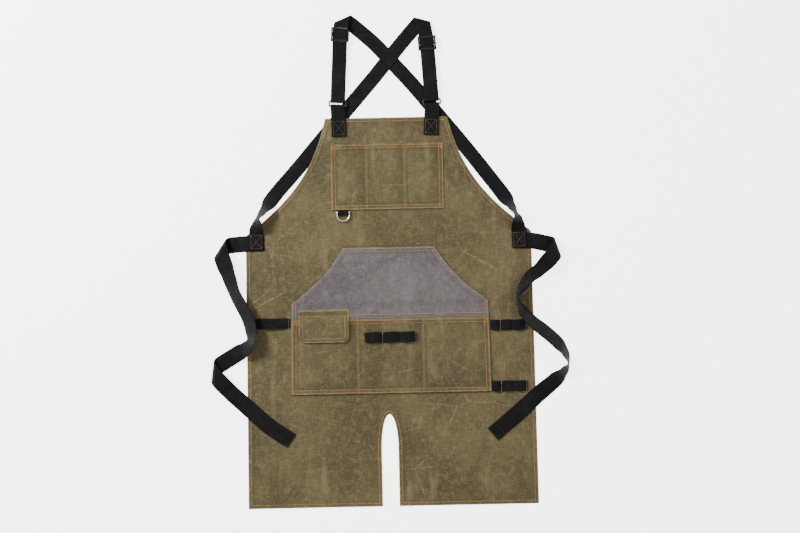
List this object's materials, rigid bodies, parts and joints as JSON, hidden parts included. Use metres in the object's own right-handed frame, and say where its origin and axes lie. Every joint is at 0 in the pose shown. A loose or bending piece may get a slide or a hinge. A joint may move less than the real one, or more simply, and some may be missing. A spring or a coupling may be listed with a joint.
{
  "type": "split-leg work apron",
  "caption": "Waxed canvas work apron with crossed shoulder straps, waist ties, patch pockets, tool loops and a split skirt, laid out flat.",
  "frame": {"origin": "middle of the whole apron's outline on the flat surface it lies on, which is also on the underside of its panel", "axes": "+X across the apron, to the right as it is seen from the front; +Y from the hem up to the bib; +Z out of the front of the cloth"},
  "size_m": [0.8422, 1.1544, 0.0391],
  "materials": {
    "olive_canvas": "waxed cotton canvas, rubbed pale along creases",
    "grey_canvas": "grey cross-dyed cotton canvas",
    "webbing": "ribbed polypropylene webbing, matt",
    "buckle_plastic": "moulded, lightly textured",
    "buckle_metal": "black enamel, worn bright on the edges",
    "nickel_plate": "nickel plated steel wire",
    "grip_tape": "hook and loop tape"
  },
  "bodies": {
    "apron": {"apron_panel": "olive_canvas", "chest_pocket": "olive_canvas", "lower_pocket": "olive_canvas", "hand_pocket": "grey_canvas", "flap_heading": "olive_canvas", "pocket_grip_patch": "grip_tape", "centre_tool_loops": "webbing", "left_hammer_loop": "webbing", "right_upper_tool_loops": "webbing", "right_lower_tool_loops": "webbing", "d_ring_tab": "webbing", "left_ring_stub": "webbing", "left_strap_ring": "buckle_plastic", "left_shoulder_strap": "webbing", "right_ring_stub": "webbing", "right_strap_ring": "buckle_plastic", "right_shoulder_strap": "webbing", "left_waist_tie": "webbing", "right_waist_tie": "webbing"},
    "flap": {"pocket_flap": "olive_canvas", "flap_grip_patch": "grip_tape"},
    "ring": {"d_ring": "nickel_plate"},
    "left_buckle": {"left_slider": "buckle_metal"},
    "right_buckle": {"right_slider": "buckle_metal"}
  },
  "joints": [
    {"name": "flap_hinge", "type": "hinge", "parent": "apron", "child": "flap", "pos_m": [-0.15517, -0.12522, 0.0042], "axis": [-1, 0, 0], "range_deg": [0, 140]},
    {"name": "ring_swing", "type": "hinge", "parent": "apron", "child": "ring", "pos_m": [-0.10467, 0.11578, 0.007], "axis": [-1, 0, 0], "range_deg": [0, 150]},
    {"name": "left_slide", "type": "slide", "parent": "apron", "child": "left_buckle", "axis": [0.0542, 0.9985, 0], "range_m": [-0.12, 0]},
    {"name": "right_slide", "type": "slide", "parent": "apron", "child": "right_buckle", "axis": [-0.0636, 0.998, 0], "range_m": [-0.095, 0]}
  ]
}
